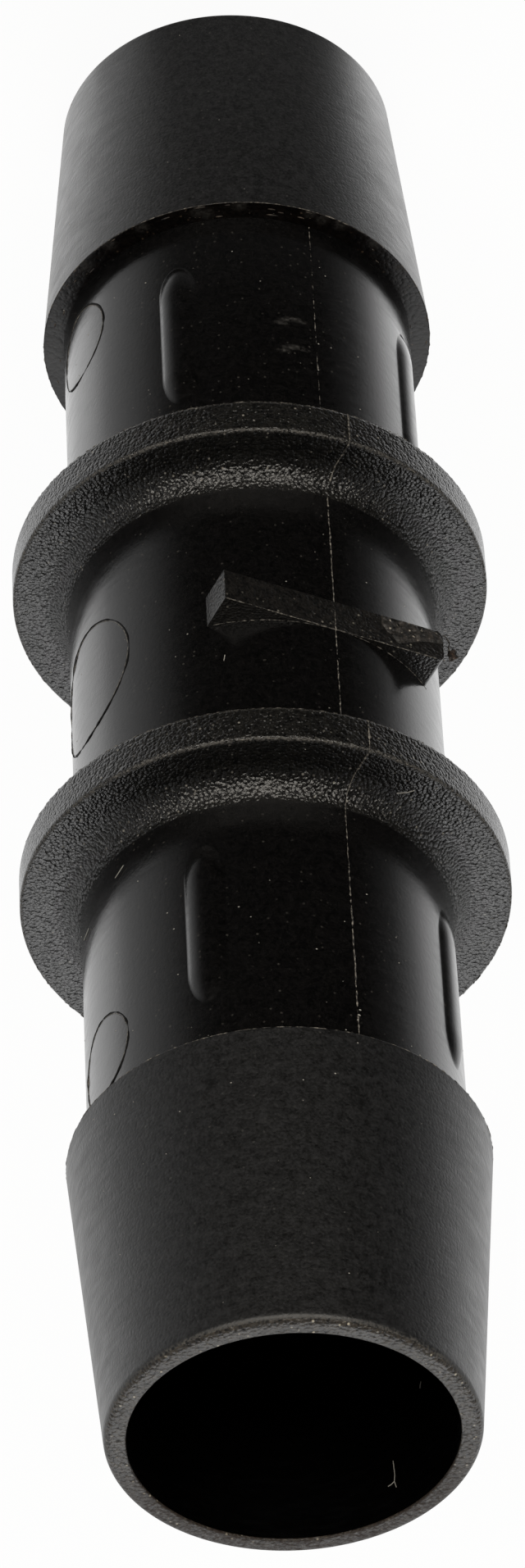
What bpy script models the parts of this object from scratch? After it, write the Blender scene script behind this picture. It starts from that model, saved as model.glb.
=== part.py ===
"""Straight hose connector, moulded in one piece.

A plain bore runs through a tube with a tapered barb at each end, two collars that the
hoses push up to, four low grip ribs on each neck and a flat-topped gate bar in the middle.
The tube stands on one mouth. Its axis is Z, its parting line lies in the YZ plane, and the
gate bar crosses that line on the -Y side.
"""

import math

import bmesh
import bpy
from mathutils import Matrix

MM = 0.001

# Lengths along the tube, which add up to the overall length
BARB_LENGTH = 16.9 * MM
NECK_LENGTH = 17.15 * MM
COLLAR_THICKNESS = 2.15 * MM
COLLAR_SPACING = 19.6 * MM

# Radii, built outwards from the bore
BORE_RADIUS = 8.0 * MM
BORE_DRAFT = math.radians(0.2)
LIP_WALL = 1.09 * MM
NECK_WALL = 1.39 * MM
BODY_WALL = 1.57 * MM
BARB_HEIGHT = 1.1 * MM
COLLAR_HEIGHT = 2.93 * MM

# Rounded edges and fillets
LIP_ROUND = 0.5 * MM
BARB_EDGE_ROUND = 0.12 * MM
BARB_ROOT_FILLET = 0.3 * MM
COLLAR_FILLET = 1.5 * MM
RIM_ROUND = 0.2 * MM

# Grip ribs on each neck
RIBS_PER_NECK = 4
RIB_WIDTH = 2.1 * MM
RIB_HEIGHT = 0.33 * MM
RIB_END_GAP = 3.6 * MM

# Gate bar across the middle of the tube
BAR_LENGTH = 12.3 * MM
BAR_WIDTH = 2.0 * MM
BAR_SINK = 0.06 * MM
BAR_EDGE = 0.1 * MM
GATE_END_ROUND = 0.35 * MM

# Fineness of the faceted surfaces
TUBE_SEGMENTS = 72
RIB_SEGMENTS = 32
FILLET_STEPS = 5
ROUND_STEPS = 3
SMALL_ROUND_STEPS = 2
SMOOTH_LIMIT = math.radians(35)
CUTTER_OVERSHOOT = 1.0 * MM
WELD_DISTANCE = 1e-7

# Sizes that follow from the ones above
COLLAR_INNER_FACE = COLLAR_SPACING / 2
COLLAR_OUTER_FACE = COLLAR_INNER_FACE + COLLAR_THICKNESS
BARB_SHOULDER = COLLAR_OUTER_FACE + NECK_LENGTH
HALF_LENGTH = BARB_SHOULDER + BARB_LENGTH
LIP_RADIUS = BORE_RADIUS + LIP_WALL
NECK_RADIUS = BORE_RADIUS + NECK_WALL
BODY_RADIUS = BORE_RADIUS + BODY_WALL
BARB_RADIUS = NECK_RADIUS + BARB_HEIGHT
COLLAR_RADIUS = BODY_RADIUS + COLLAR_HEIGHT


def clear_scene():
    for leftover in list(bpy.data.objects):
        bpy.data.objects.remove(leftover, do_unlink=True)


def arc(centre_radius, centre_height, radius, start_degrees, end_degrees, steps):
    """Points of a profile arc, as (radius, height), both ends included."""
    points = []
    for step in range(steps + 1):
        angle = math.radians(start_degrees + (end_degrees - start_degrees) * step / steps)
        points.append((centre_radius + radius * math.cos(angle), centre_height + radius * math.sin(angle)))
    return points


def lip_profile():
    """The mouth's outer edge, from its flat ring down to the barb's cone."""
    return arc(LIP_RADIUS - LIP_ROUND, HALF_LENGTH - LIP_ROUND, LIP_ROUND, 90, 0, ROUND_STEPS)


def barb_profile():
    """The barb's widest edge and the square shoulder that grips the hose."""
    edge_radius = BARB_RADIUS - BARB_EDGE_ROUND
    edge_height = BARB_SHOULDER + BARB_EDGE_ROUND
    root_radius = NECK_RADIUS + BARB_ROOT_FILLET
    root_height = BARB_SHOULDER - BARB_ROOT_FILLET
    edge = arc(edge_radius, edge_height, BARB_EDGE_ROUND, 0, -90, SMALL_ROUND_STEPS)
    root = arc(root_radius, root_height, BARB_ROOT_FILLET, 90, 180, SMALL_ROUND_STEPS)
    return edge + root


def collar_profile():
    """One collar, from the neck over its rim to the tube between the collars."""
    outer_fillet = min(COLLAR_FILLET, COLLAR_RADIUS - NECK_RADIUS - RIM_ROUND)
    inner_fillet = min(COLLAR_FILLET, COLLAR_HEIGHT - RIM_ROUND)
    rim_radius = COLLAR_RADIUS - RIM_ROUND
    return (
        arc(NECK_RADIUS + outer_fillet, COLLAR_OUTER_FACE + outer_fillet, outer_fillet, 180, 270, FILLET_STEPS)
        + arc(rim_radius, COLLAR_OUTER_FACE - RIM_ROUND, RIM_ROUND, 90, 0, SMALL_ROUND_STEPS)
        + arc(rim_radius, COLLAR_INNER_FACE + RIM_ROUND, RIM_ROUND, 0, -90, SMALL_ROUND_STEPS)
        + arc(BODY_RADIUS + inner_fillet, COLLAR_INNER_FACE - inner_fillet, inner_fillet, 90, 180, FILLET_STEPS)
    )


def outer_profile():
    """The whole outer side, top to bottom: one half and its mirror image."""
    half = lip_profile() + barb_profile() + collar_profile()
    mirrored = [(radius, -height) for radius, height in reversed(half)]
    return [(radius, height + HALF_LENGTH) for radius, height in half + mirrored]


def bore_profile():
    """The two core pins' outline. They taper a little and meet at mid-length."""
    meeting_radius = BORE_RADIUS - HALF_LENGTH * math.tan(BORE_DRAFT)
    length = 2 * HALF_LENGTH
    return [
        (BORE_RADIUS, length + CUTTER_OVERSHOOT),
        (BORE_RADIUS, length),
        (meeting_radius, HALF_LENGTH),
        (BORE_RADIUS, 0.0),
        (BORE_RADIUS, -CUTTER_OVERSHOOT),
    ]


def finish_mesh(name, shape):
    """Turns a bmesh into a mesh with outward normals, smooth faces and crisp corners."""
    bmesh.ops.remove_doubles(shape, verts=shape.verts, dist=WELD_DISTANCE)
    bmesh.ops.recalc_face_normals(shape, faces=shape.faces)
    mesh = bpy.data.meshes.new(name)
    shape.to_mesh(mesh)
    shape.free()
    mesh.shade_smooth()
    mesh.set_sharp_from_angle(angle=SMOOTH_LIMIT)
    return mesh


def turned_mesh(name, profile, segments):
    """A closed solid turned about Z from (radius, height) points, with flat ends."""
    shape = bmesh.new()
    points = [shape.verts.new((radius, 0.0, height)) for radius, height in profile]
    edges = [shape.edges.new(pair) for pair in zip(points, points[1:])]
    bmesh.ops.spin(
        shape, geom=points + edges, cent=(0, 0, 0), axis=(0, 0, 1), angle=math.tau, steps=segments, use_merge=True
    )
    bmesh.ops.holes_fill(shape, edges=shape.edges)
    return finish_mesh(name, shape)


def rib_section():
    """Radius of the rib's round section and its axis' distance from the tube's axis."""
    half_width = RIB_WIDTH / 2
    foot = math.sqrt(NECK_RADIUS**2 - half_width**2)
    rise = NECK_RADIUS + RIB_HEIGHT - foot
    section_radius = (half_width**2 + rise**2) / (2 * rise)
    return section_radius, foot + rise - section_radius


def rib_mesh():
    """A round-ended rod that shows above the neck only as a low, rounded rib."""
    section_radius, axis_distance = rib_section()
    depth = NECK_RADIUS - axis_distance
    end_reach = math.sqrt(section_radius**2 - depth**2)
    half_straight = NECK_LENGTH / 2 - RIB_END_GAP - end_reach
    steps = RIB_SEGMENTS // 4
    top = arc(0.0, half_straight, section_radius, 90, 0, steps)
    bottom = arc(0.0, -half_straight, section_radius, 0, -90, steps)
    return turned_mesh("rib", top + bottom, RIB_SEGMENTS)


def place_ribs(group):
    """Sets the ribs round both necks, half a pitch from the parting line."""
    mesh = rib_mesh()
    axis_distance = rib_section()[1]
    rib_height = COLLAR_OUTER_FACE + NECK_LENGTH / 2
    pitch = math.tau / RIBS_PER_NECK
    for side in (-1, 1):
        for index in range(RIBS_PER_NECK):
            angle = math.pi / 2 + pitch * (index + 0.5)
            rib = bpy.data.objects.new("rib", mesh)
            rib.location = (
                axis_distance * math.cos(angle),
                axis_distance * math.sin(angle),
                HALF_LENGTH + side * rib_height,
            )
            add_helper(rib, group)


def upright_edges(shape, x_side):
    """The bar's two corner edges that run towards the tube at one of its ends."""
    return [
        edge
        for edge in shape.edges
        if all(vertex.co.x * x_side > 0 for vertex in edge.verts) and edge.verts[0].co.z * edge.verts[1].co.z > 0
    ]


def bar_mesh():
    """The bar, straight and flat on top, with one crisp end and one rounded end."""
    top = BODY_RADIUS - BAR_SINK
    shape = bmesh.new()
    bmesh.ops.create_cube(shape, size=1.0, matrix=Matrix.Diagonal((BAR_LENGTH, top, BAR_WIDTH, 1.0)))
    bmesh.ops.bevel(
        shape,
        geom=upright_edges(shape, -1),
        offset=GATE_END_ROUND,
        segments=ROUND_STEPS,
        profile=0.5,
        affect="EDGES",
    )
    outer = min(vertex.co.y for vertex in shape.verts)
    top_edges = [
        edge for edge in shape.edges if all(abs(vertex.co.y - outer) < WELD_DISTANCE for vertex in edge.verts)
    ]
    bmesh.ops.bevel(
        shape, geom=top_edges, offset=BAR_EDGE, segments=1, profile=0.5, affect="EDGES"
    )
    bmesh.ops.translate(shape, verts=shape.verts, vec=(0.0, -top / 2, 0.0))
    return finish_mesh("gate_bar", shape)


def place_bar(group):
    bar = bpy.data.objects.new("gate_bar", bar_mesh())
    bar.location = (0.0, 0.0, HALF_LENGTH)
    add_helper(bar, group)


def add_helper(helper, group):
    """Keeps a solid that only shapes the connector out of the render."""
    group.objects.link(helper)
    helper.hide_render = True
    helper.display_type = "WIRE"


def new_group(name):
    group = bpy.data.collections.new(name)
    bpy.context.scene.collection.children.link(group)
    return group


def black_nylon():
    """Glass-filled black nylon with a satin, slightly grained skin."""
    material = bpy.data.materials.new("black_nylon")
    material.use_nodes = True
    shader = material.node_tree.nodes["Principled BSDF"]
    shader.inputs["Base Color"].default_value = (0.011, 0.011, 0.012, 1.0)
    shader.inputs["Roughness"].default_value = 0.48
    shader.inputs["Metallic"].default_value = 0.0
    return material


def build_connector():
    """Turns the body, adds what stands on it, then cuts the bore through everything."""
    connector = bpy.data.objects.new("connector", turned_mesh("connector", outer_profile(), TUBE_SEGMENTS))
    connector.data.materials.append(black_nylon())
    bpy.context.scene.collection.objects.link(connector)

    additions = new_group("additions")
    place_ribs(additions)
    place_bar(additions)
    join = connector.modifiers.new("ribs_and_bar", "BOOLEAN")
    join.operation = "UNION"
    join.operand_type = "COLLECTION"
    join.collection = additions

    cutters = new_group("cutters")
    core = bpy.data.objects.new("core", turned_mesh("core", bore_profile(), TUBE_SEGMENTS))
    add_helper(core, cutters)
    cut = connector.modifiers.new("bore", "BOOLEAN")
    cut.operation = "DIFFERENCE"
    cut.object = core
    return connector


clear_scene()
build_connector()
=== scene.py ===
# %% [markdown]
# # A straight hose connector in moulded black nylon
# The connector joins two coolant hoses. It is one piece of glass-filled nylon, shot into a
# split steel mould, and nearly everything that the eye finds on it is a trace of that mould:
# satin where the steel was polished, grain where it was spark-eroded, a thin line where the
# halves met, rings where pins pushed the part out and a torn spot where the plastic came in.
# The solid model is already right in size. This lesson dresses it with those traces.

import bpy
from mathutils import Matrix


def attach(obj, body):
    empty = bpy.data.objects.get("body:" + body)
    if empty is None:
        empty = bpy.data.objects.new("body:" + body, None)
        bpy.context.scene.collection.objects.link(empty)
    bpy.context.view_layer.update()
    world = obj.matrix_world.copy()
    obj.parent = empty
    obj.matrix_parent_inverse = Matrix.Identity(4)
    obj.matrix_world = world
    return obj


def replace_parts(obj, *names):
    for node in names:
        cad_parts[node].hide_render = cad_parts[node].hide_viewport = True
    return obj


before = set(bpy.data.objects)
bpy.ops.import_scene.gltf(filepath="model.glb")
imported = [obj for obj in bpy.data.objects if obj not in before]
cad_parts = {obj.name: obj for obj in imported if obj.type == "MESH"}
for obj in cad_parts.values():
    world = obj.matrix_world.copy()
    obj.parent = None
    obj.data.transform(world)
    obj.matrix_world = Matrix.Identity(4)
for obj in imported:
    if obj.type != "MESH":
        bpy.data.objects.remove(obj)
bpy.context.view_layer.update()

# %% Tools and the unit
import math

import bmesh
import bpy
from mathutils import Euler, Vector
from mathutils import noise as rough

MM = 0.001
scene = bpy.context.scene
scene.view_settings.view_transform = "Standard"

# %% [markdown]
# ## The camera
# The photograph was taken from in front and above with a long lens, so that the near mouth
# is hardly larger than the far one. The picture's upward direction points towards the far
# mouth, which is the one that the connector stands on here. The camera is therefore rolled
# by almost half a turn, as if the photographer held it upside down.

# %% Set the camera
lens = bpy.data.cameras.new("long_lens")
lens.lens = 174.311
camera = bpy.data.objects.new("camera", lens)
camera.location = (127.4313 * MM, -256.6228 * MM, 314.5436 * MM)
camera.rotation_euler = Euler([math.radians(turn) for turn in (-47.1883, -2.1989, -155.6)])
scene.collection.objects.link(camera)
scene.camera = camera
print("camera is", round(camera.location.length / MM), "mm from the foot")

# %% [markdown]
# ## Measures
# The sizes are the solid's own, in the words of a mould drawing. Heights are counted from
# the middle of the tube, because the two halves mirror each other. The visible rim is a
# hair smaller than the solid's, which leaves room for the flash that stands on it.

# %% Sizes of the moulded body
HALF_LENGTH = 46.0 * MM
BARB_SHOULDER = 29.1 * MM
COLLAR_OUTER_FACE = 11.95 * MM
COLLAR_INNER_FACE = 9.8 * MM
BORE_RADIUS = 8.0 * MM
MEETING_RADIUS = 7.84 * MM
LIP_RADIUS = 9.09 * MM
LIP_ROUND = 0.46 * MM
BORE_EDGE_ROUND = 0.08 * MM
BARB_EDGE_ROUND = 0.05 * MM
NECK_RADIUS = 9.39 * MM
BODY_RADIUS = 9.57 * MM
BARB_RADIUS = 10.49 * MM
COLLAR_RADIUS = 12.47 * MM
COLLAR_FILLET = 1.5 * MM
RIM_ROUND = 0.2 * MM
TINY = 0.001 * MM


def wall_point(height, turn, radius):
    """A point on the turned body in mm, its turn in degrees from the parting line to picture right."""
    angle = math.radians(turn)
    return (-radius * math.sin(angle) * MM, -radius * math.cos(angle) * MM, height * MM)


# %% [markdown]
# ## Helpers for node trees
# Materials and Geometry Nodes are both made of nodes, so one small function adds a node,
# gives it its settings and fills its inputs. An input can be a value, an output socket or a
# whole node, which then hands over its first output. Colours are written as the sRGB hex
# values that a colour picker shows, and one function turns them into linear values.

# %% Add a node, and read a colour
MATH, VECTOR, MIX, REMAP = "ShaderNodeMath", "ShaderNodeVectorMath", "ShaderNodeMix", "ShaderNodeMapRange"
SPLIT, JOIN, POSITION = "ShaderNodeSeparateXYZ", "ShaderNodeCombineXYZ", "GeometryNodeInputPosition"
NOISE, CELLS, PLACE = "ShaderNodeTexNoise", "ShaderNodeTexVoronoi", "ShaderNodeTexCoord"
CIRCLE, SWEEP = "GeometryNodeCurvePrimitiveCircle", "GeometryNodeCurveToMesh"
MOVE = "GeometryNodeSetPosition"


def fill(tree, node, inputs):
    """Fills a node's inputs, each with a value, an output socket or another node."""
    for key, value in inputs.items():
        if isinstance(value, bpy.types.Node):
            value = next(socket for socket in value.outputs if socket.enabled)
        if isinstance(value, bpy.types.NodeSocket):
            tree.links.new(value, node.inputs[key])
        else:
            node.inputs[key].default_value = value


def add(tree, kind, inputs=None, operation=None, **settings):
    """Adds one node with its inputs, its operation if it has one, and its other settings."""
    node = tree.nodes.new(kind)
    if operation:
        settings["operation"] = operation
    for name, value in settings.items():
        setattr(node, name, value)
    fill(tree, node, inputs or {})
    return node


def linear(hex_colour):
    """An sRGB colour such as #0b0b0c as linear red, green, blue and alpha."""
    parts = [int(hex_colour[place : place + 2], 16) / 255 for place in (1, 3, 5)]
    return (*[part / 12.92 if part <= 0.04045 else ((part + 0.055) / 1.055) ** 2.4 for part in parts], 1.0)


def new_material(name):
    """A material with its tree and its shader."""
    material = bpy.data.materials.new(name)
    material.use_nodes = True
    return material, material.node_tree, material.node_tree.nodes["Principled BSDF"]


# %% [markdown]
# Some small groups of nodes turn up again and again: how far a place lies from the axis or
# from the middle, pale specks, and a colour that drifts in clouds. Each is written once.

# %% Groups of nodes that return
NYLON_IOR = 1.53


def axis_distance(tree, place):
    """How far a place lies from the tube's axis."""
    flat = add(tree, VECTOR, {0: place, 1: (1, 1, 0)}, "MULTIPLY")
    return add(tree, VECTOR, {0: flat}, "LENGTH")


def middle_distance(tree, place):
    """How far a place lies above or below the tube's middle."""
    up = add(tree, SPLIT, {0: place}).outputs[2]
    raised = add(tree, MATH, {0: up, 1: HALF_LENGTH}, "SUBTRACT")
    return add(tree, MATH, {0: raised}, "ABSOLUTE")


def speckle(tree, place, width, share, full, gone):
    """Spots in this share of cells of this width, fading from full to gone in parts of the width."""
    cells = add(tree, CELLS, {"Vector": place, "Scale": 1 / width})
    lot = add(tree, "ShaderNodeSeparateColor", {0: cells.outputs["Color"]})
    chosen = add(tree, REMAP, {0: lot, 1: 1.0 - share, 2: 1.0})
    spot = add(tree, REMAP, {0: cells, 1: full, 2: gone, 3: 1.0, 4: 0.0})
    return add(tree, MATH, {0: chosen, 1: spot}, "MULTIPLY")


def clouded(tree, place, width, low, high, dark, pale, detail=3.0, roughness=0.5):
    """A colour that drifts from dark to pale in clouds of this width."""
    drift = {"Vector": place, "Scale": 1 / width, "Detail": detail, "Roughness": roughness}
    patches = add(tree, REMAP, {0: add(tree, NOISE, drift), 1: low, 2: high})
    tints = {"Factor": patches, 6: linear(dark), 7: linear(pale)}
    return add(tree, MIX, tints, data_type="RGBA")


def clouded_material(name, width, low, high, dark, pale, roughness, detail=3.0, ior=NYLON_IOR):
    """A material of one roughness whose colour drifts in clouds."""
    material, tree, shader = new_material(name)
    place = add(tree, PLACE).outputs["Object"]
    colour = clouded(tree, place, width, low, high, dark, pale, detail)
    fill(tree, shader, {"Base Color": colour, "Roughness": roughness, "IOR": ior})
    return material


# %% [markdown]
# ## The skins of the nylon
# The plastic is the same everywhere: nylon 66 with glass fibre, dyed black. It is dark right through, so
# nearly all of its look is gloss, and the gloss is the mould's. Polished steel leaves a satin skin, a fine
# blast leaves the dull skin of the barbs, and spark erosion leaves the little hills on the collars. The
# barbs' shoulders are made nearly black and less shiny than the barbs, which is painted shade in the step,
# in a brown tint, and the ring of each mouth is worn and grainy. The bore is made darker than the rest,
# which is painted shade inside the tube. One function makes them all. What changes is the roughness, the
# width and depth of the grain, the mottling of the dye and how many pale specks there are. The specks are
# partly glass fibre that lies bare and partly painted glints of the grain. The real grain is 0.03 to 0.1 mm
# wide. It is drawn two to three times as wide, because a pixel of the picture covers 0.08 mm.
#
# Wear is a paler, duller colour that shows within a few tenths of a millimetre of an edge,
# broken up by noise. The distance to an edge is worked out from the turned shape itself:
# radius and height are a point in the outline's plane, and so is each worn edge.


# %% Find the worn edges
def edge_wear(tree, place, edges, reach):
    """1 on these edges of the turned body, each a radius and a height, fading to 0 within reach."""
    spot = add(tree, JOIN, {0: axis_distance(tree, place), 1: middle_distance(tree, place)})
    nearest = 1.0
    for edge in edges:
        gap = add(tree, VECTOR, {0: spot, 1: (*edge, 0.0)}, "DISTANCE")
        nearest = add(tree, MATH, {0: gap, 1: nearest}, "MINIMUM")
    near = add(tree, REMAP, {0: nearest, 1: 0.35 * reach, 2: reach, 3: 1.0, 4: 0.0})
    patches = add(tree, NOISE, {"Vector": place, "Scale": 1 / (0.14 * MM), "Detail": 3.0})
    broken = add(tree, REMAP, {0: patches, 1: 0.4, 2: 0.62})
    return add(tree, MATH, {0: near, 1: broken}, "MULTIPLY")


# %% [markdown]
# Some small places are rubbed dull: two short arcs beside the lower neck's parting line and smears on the
# shoulders. A darker brown patch on the upper mouth's ring, on its side away from the gate and the camera,
# is painted shade. Each is a soft spot or a row of them, so a list of middles is all that a skin needs.

# %% Find the rub marks and the patch of painted shade
MARK_HALF_SIZES = (0.5 * MM, 0.5 * MM, 0.2 * MM)


def rub_and_shade_marks(tree, place, middles, half_sizes):
    """Up to 1 at the middle of each of these marks, broken up and fading outwards."""
    rubbed_and_shaded = 0.0
    for middle in middles:
        offset = add(tree, VECTOR, {0: place, 1: middle}, "SUBTRACT")
        shares = add(tree, VECTOR, {0: offset, 1: half_sizes}, "DIVIDE")
        share = add(tree, VECTOR, {0: shares}, "LENGTH")
        mark = add(tree, REMAP, {0: share, 1: 0.1, 2: 1.0, 3: 0.9, 4: 0.0})
        rubbed_and_shaded = add(tree, MATH, {0: mark, 1: rubbed_and_shaded}, "MAXIMUM")
    grit = add(tree, NOISE, {"Vector": place, "Scale": 1 / (0.22 * MM), "Detail": 2.0})
    broken = add(tree, REMAP, {0: grit, 1: 0.28, 2: 0.66})
    return add(tree, MATH, {0: rubbed_and_shaded, 1: broken}, "MULTIPLY")


# %% A nylon skin
WORN_TINT = "#3f3c37"


def nylon_skin(
    name, roughness, grain, depth, tint, pale, specks=0.0, fibre="#77736b", edges=(), reach=0.22 * MM,
    marks=(), mark_size=MARK_HALF_SIZES, mark_tint="#2e2c29", shine=0.5, dust=0.0,
):
    """Glass-filled nylon off a mould wall, dyed from tint to pale, with this share of specks."""
    material, tree, shader = new_material(name)
    place = add(tree, PLACE).outputs["Object"]
    hills = add(tree, NOISE, {"Vector": place, "Scale": 1 / grain, "Detail": 2.0, "Roughness": 0.6})
    pits = add(tree, CELLS, {"Vector": place, "Scale": 0.85 / grain})
    domes = add(tree, MATH, {0: pits, 1: pits}, "MULTIPLY")
    relief = add(tree, MATH, {0: domes, 1: -1.2, 2: hills}, "MULTIPLY_ADD")
    bump = add(tree, "ShaderNodeBump", {"Distance": depth, "Height": relief})

    flow = add(tree, VECTOR, {0: place, 1: (1, 1, 5)}, "MULTIPLY")
    streaks = add(tree, NOISE, {"Vector": flow, "Scale": 1 / (1.6 * MM), "Detail": 4.0})
    gloss = add(tree, REMAP, {0: streaks, 1: 0.3, 2: 0.7, 3: roughness - 0.05, 4: roughness + 0.05})
    drift = {"Vector": place, "Scale": 1 / (0.4 * MM), "Detail": 4.0, "Roughness": 0.65}
    clouds = add(tree, NOISE, drift)
    clouded_hills = add(tree, MATH, {0: clouds, 1: hills}, "ADD")
    mottle = add(tree, REMAP, {0: clouded_hills, 1: 0.78, 2: 1.24})
    colour = add(tree, MIX, {"Factor": mottle, 6: linear(tint), 7: linear(pale)}, data_type="RGBA")

    # Pale specks: partly bare glass fibre, partly painted glints of the grain.
    if specks:
        fibre_and_glint_spots = speckle(tree, place, 0.42 * MM, specks, 0.08, 0.19)
        colour = add(tree, MIX, {"Factor": fibre_and_glint_spots, 6: colour, 7: linear(fibre)}, data_type="RGBA")
    if edges:
        wear = edge_wear(tree, place, edges, reach)
        colour = add(tree, MIX, {"Factor": wear, 6: colour, 7: linear(WORN_TINT)}, data_type="RGBA")
        gloss = add(tree, MIX, {"Factor": wear, 2: gloss, 3: 0.7})
    if marks:
        rubbed_and_shaded = rub_and_shade_marks(tree, place, marks, mark_size)
        colour = add(tree, MIX, {"Factor": rubbed_and_shaded, 6: colour, 7: linear(mark_tint)}, data_type="RGBA")
        gloss = add(tree, MIX, {"Factor": rubbed_and_shaded, 2: gloss, 3: 0.75})
    fill(tree, shader, {"Base Color": colour, "Roughness": gloss, "Normal": bump, "IOR": NYLON_IOR})
    fill(tree, shader, {"Specular IOR Level": shine, "Sheen Weight": dust, "Sheen Roughness": 0.3})
    return material


# %% [markdown]
# The necks and the middle tube are satin, with two curved rub marks beside the lower neck's parting line.
# The collars are grained and worn at their rims. The mouths' rings knock against things, so they are pale
# and grainy. The upper one has a darker brown patch on its side away from the gate and the camera, which is
# painted shade. The marks could be painted on a picture. A list of places, each a turn with a height or a
# radius, keeps every mark a number that can be moved by itself.

# %% Make the skins
RUBBED_NECK = [
    (24.84, -11.6), (24.56, -10.0), (24.42, -8.4), (24.4, -6.8), (24.5, -5.2),
    (26.92, -11.2), (26.66, -9.6), (26.52, -8.0), (26.5, -6.4), (26.6, -4.8),
]
SMEARED_SHOULDER = [
    (-33.6, 9.84), (-36.2, 10.1), (-23.5, 10.3), (2.3, 10.2), (8.1, 10.3), (-54.1, 10.2), (-65.9, 10.26),
    (-77.2, 10.2), (21.0, 10.4), (34.0, 10.35), (-2.3, 10.38), (150.0, 10.2), (95.0, 10.1), (-140.0, 10.3),
]
# Turns of the darker brown patch on the upper mouth's ring, centred on its side away from the camera:
# painted shade.
MOUTH_SHADE_TURNS = (104, 129, 154, 179, 204)
satin_skin = nylon_skin(
    "satin_nylon_polished_mould", 0.2, 0.16 * MM, 0.002 * MM, "#040404", "#0c0b0b", specks=0.5,
    fibre="#2e2c29", marks=[wall_point(height, turn, 9.39) for height, turn in RUBBED_NECK],
)
collar_skin = nylon_skin(
    "grained_nylon_spark_eroded_mould", 0.22, 0.15 * MM, 0.045 * MM, "#050505", "#191816", specks=0.5,
    edges=[(COLLAR_RADIUS, COLLAR_INNER_FACE), (COLLAR_RADIUS, COLLAR_OUTER_FACE)],
)
barb_skin = nylon_skin(
    "dull_nylon_blasted_mould", 0.42, 0.14 * MM, 0.008 * MM, "#020202", "#1a1a1b", specks=0.3,
    fibre="#2c2b29", edges=[(8.95 * MM, 45.9 * MM), (8.6 * MM, HALF_LENGTH), (8.1 * MM, HALF_LENGTH)],
    reach=0.26 * MM, dust=0.05,
)
bar_skin = nylon_skin(
    "plain_nylon_gate_bar", 0.3, 0.14 * MM, 0.022 * MM, "#050505", "#191715", specks=0.9, fibre="#6b675e"
)
# The shoulders' skin is darker and less shiny than the barbs': painted shade in the step between barb and
# neck, in a brown tint.
shoulder_skin = nylon_skin(
    "brown_nylon_shoulder_painted_shade", 0.34, 0.2 * MM, 0.012 * MM, "#020101", "#0d0907", specks=0.5,
    fibre="#43372b", marks=[wall_point(16.9, turn, radius) for turn, radius in SMEARED_SHOULDER], shine=0.2,
)
mouth_skin = nylon_skin(
    "worn_nylon_mouth_ring", 0.42, 0.19 * MM, 0.05 * MM, "#0b0908", "#3b352d", specks=1.0,
    fibre="#b5ac9a", marks=[wall_point(92.0, turn, 8.5) for turn in MOUTH_SHADE_TURNS],
    mark_size=(5.0 * MM, 5.0 * MM, 5.0 * MM), mark_tint="#24180f", shine=0.42,
)
# The bore's skin is darker and less shiny than the rest: painted shade inside the tube.
bore_skin = nylon_skin("drawn_nylon_core_pin_painted_shade", 0.25, 0.3 * MM, 0.001 * MM, "#010101", "#020202", shine=0.25)
INSERT_SKINS = (collar_skin, barb_skin, bore_skin, shoulder_skin, mouth_skin)
print("skins made:", [skin.name for skin in (satin_skin, bar_skin, *INSERT_SKINS)])

# %% [markdown]
# ## The moulded body
# Apart from its ribs and its gate bar the connector is a turned shape: one outline carried
# round the axis. It could be turned on a lathe with the Screw modifier, but a node tree can
# also hand its sizes out by name. The outline is drawn as a closed curve, down the outside and
# up the bore, and swept round a circle. Short rows lie next to every rounded edge, so that
# smooth shading doesn't bleed from the edge into the straight walls.


# %% Draw the outline
def arc(centre_radius, centre_height, radius, start, end, steps):
    """Points of a profile arc as (radius, height), angles in degrees, both ends included."""
    points = []
    for step in range(steps + 1):
        turn = math.radians(start + (end - start) * step / steps)
        points.append((centre_radius + radius * math.cos(turn), centre_height + radius * math.sin(turn)))
    return points


def outer_side():
    """The outside from the upper mouth to the lower, as (radius, height above the foot)."""
    rim = COLLAR_RADIUS - RIM_ROUND
    half = (
        arc(LIP_RADIUS - LIP_ROUND, HALF_LENGTH - LIP_ROUND, LIP_ROUND, 90, 0, 8)
        + arc(BARB_RADIUS - BARB_EDGE_ROUND, BARB_SHOULDER + BARB_EDGE_ROUND, BARB_EDGE_ROUND, 0, -90, 3)
        + [(NECK_RADIUS, BARB_SHOULDER)]
        + arc(NECK_RADIUS + COLLAR_FILLET, COLLAR_OUTER_FACE + COLLAR_FILLET, COLLAR_FILLET, 180, 270, 14)
        + arc(rim, COLLAR_OUTER_FACE - RIM_ROUND, RIM_ROUND, 90, 0, 5)
        + arc(rim, COLLAR_INNER_FACE + RIM_ROUND, RIM_ROUND, 0, -90, 5)
        + arc(BODY_RADIUS + COLLAR_FILLET, COLLAR_INNER_FACE - COLLAR_FILLET, COLLAR_FILLET, 90, 180, 14)
    )
    other = [(radius, -height) for radius, height in reversed(half)]
    return [(radius, height + HALF_LENGTH) for radius, height in half + other]


def bore_side():
    """The bore from the lower mouth to the upper, tapering a little to the middle."""
    lower = arc(BORE_RADIUS + BORE_EDGE_ROUND, BORE_EDGE_ROUND, BORE_EDGE_ROUND, -90, -180, 3)
    upper = [(radius, 2 * HALF_LENGTH - height) for radius, height in reversed(lower)]
    return lower + [(MEETING_RADIUS, HALF_LENGTH)] + upper


def add_rows(points, longest, support):
    """Splits long straights into rows, with a short row next to each of their ends."""
    rows = [Vector(points[0])]
    for target in map(Vector, points[1:]):
        start, run = rows[-1].copy(), target - rows[-1]
        if run.length > 3 * support:
            ends = support / run.length
            count = max(1, round(run.length / longest))
            shares = [ends] + [ends + (1 - 2 * ends) * step / count for step in range(1, count + 1)]
            rows += [start + run * share for share in shares]
        rows.append(target)
    return rows


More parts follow.
